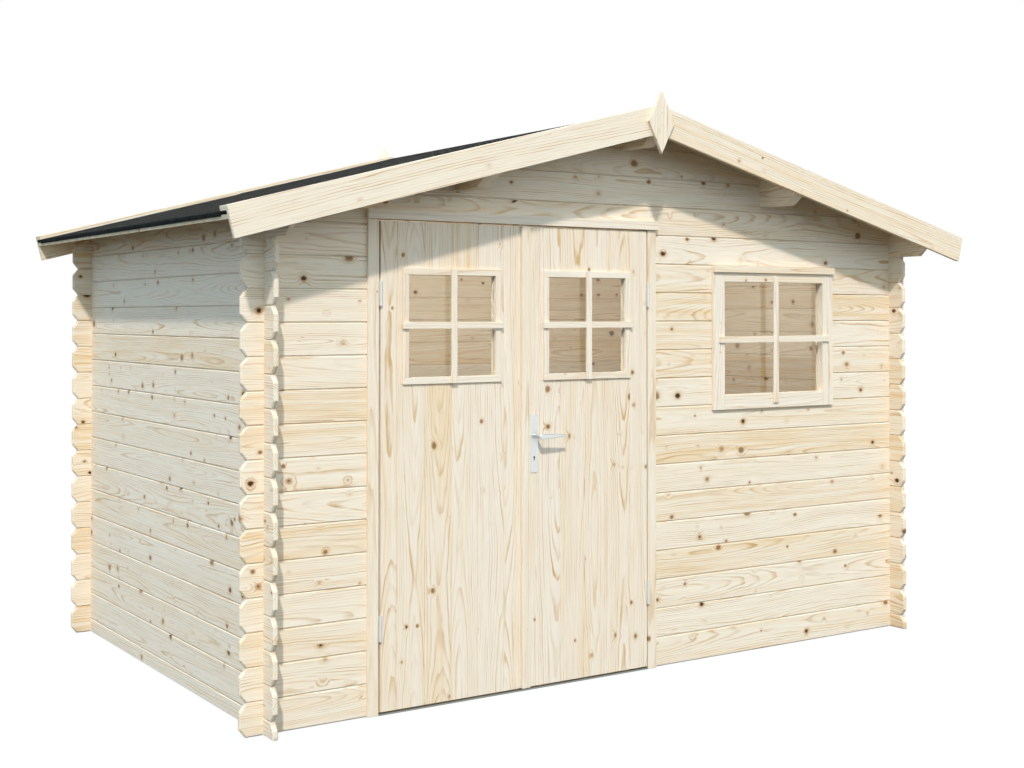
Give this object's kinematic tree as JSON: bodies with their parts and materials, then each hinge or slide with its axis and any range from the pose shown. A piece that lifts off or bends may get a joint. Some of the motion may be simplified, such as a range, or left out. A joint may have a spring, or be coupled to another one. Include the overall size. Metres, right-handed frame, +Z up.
{
  "type": "wooden garden shed",
  "caption": "Gabled garden shed of interlocking softwood boards with crossed corner ends, a glazed double door, a window and a felted roof on purlins.",
  "frame": {"origin": "On the ground under the middle of the whole shed with its roof", "axes": "+X to the right seen from the front, along the gable front; -Y out of the front with the double door; +Z up"},
  "size_m": [3.4782, 2.227, 2.2441],
  "materials": {
    "wall_boards": "planed untreated spruce boards",
    "trim_boards": "planed untreated spruce trim",
    "door_boards": "planed untreated spruce door boards",
    "roof_timber": "planed untreated spruce purlins",
    "roof_boards": "sawn untreated spruce roof boards",
    "roofing_felt": "bitumen felt with fine mineral grit",
    "threshold": "dull mill-finish sill strip",
    "window_glass": "clear float glass",
    "zinc_fittings": "bright zinc-plated steel"
  },
  "bodies": {
    "shed": {"front_wall_left": "wall_boards", "front_wall_over_door": "wall_boards", "front_wall_middle": "wall_boards", "front_wall_below_window": "wall_boards", "front_wall_over_window": "wall_boards", "front_wall_right": "wall_boards", "front_gable": "wall_boards", "back_wall": "wall_boards", "back_gable": "wall_boards", "left_wall": "wall_boards", "right_wall": "wall_boards", "left_wall_plate": "wall_boards", "right_wall_plate": "wall_boards", "ridge_purlin": "roof_timber", "left_purlin": "roof_timber", "right_purlin": "roof_timber", "left_roof_boards": "roof_boards", "right_roof_boards": "roof_boards", "front_bargeboards": "trim_boards", "back_bargeboards": "trim_boards", "front_verge_caps": "trim_boards", "back_verge_caps": "trim_boards", "front_finial": "trim_boards", "back_finial": "trim_boards", "left_door_jamb": "trim_boards", "right_door_jamb": "trim_boards", "door_head": "trim_boards", "window_frame": "trim_boards", "window_drip_board": "trim_boards", "roof_felt": "roofing_felt", "door_threshold": "threshold", "window_glass": "window_glass", "left_jamb_hinges": "zinc_fittings", "right_jamb_hinges": "zinc_fittings"},
    "left_door": {"left_door_leaf": "door_boards", "left_door_window_trim": "trim_boards", "left_door_glass": "window_glass", "left_door_hinges": "zinc_fittings"},
    "right_door": {"right_door_leaf": "door_boards", "right_door_window_trim": "trim_boards", "right_door_glass": "window_glass", "right_door_hinges": "zinc_fittings", "door_cover_strip": "door_boards", "handle_plates": "zinc_fittings"},
    "lever": {"door_lever": "zinc_fittings"}
  },
  "joints": [
    {"name": "left_door_swing", "type": "hinge", "parent": "shed", "child": "left_door", "pos_m": [-1.0895, -0.8983, 0.9], "axis": [0, 0, -1], "range_deg": [0, 105]},
    {"name": "right_door_swing", "type": "hinge", "parent": "shed", "child": "right_door", "pos_m": [0.1015, -0.8983, 0.9], "axis": [0, 0, 1], "range_deg": [0, 105]},
    {"name": "lever_turn", "type": "hinge", "parent": "right_door", "child": "lever", "pos_m": [-0.44, -0.8958, 0.943], "axis": [0, 1, 0], "range_deg": [0, 40], "stiffness_Nm_per_rad": 1.5, "springref_deg": -34.38}
  ]
}
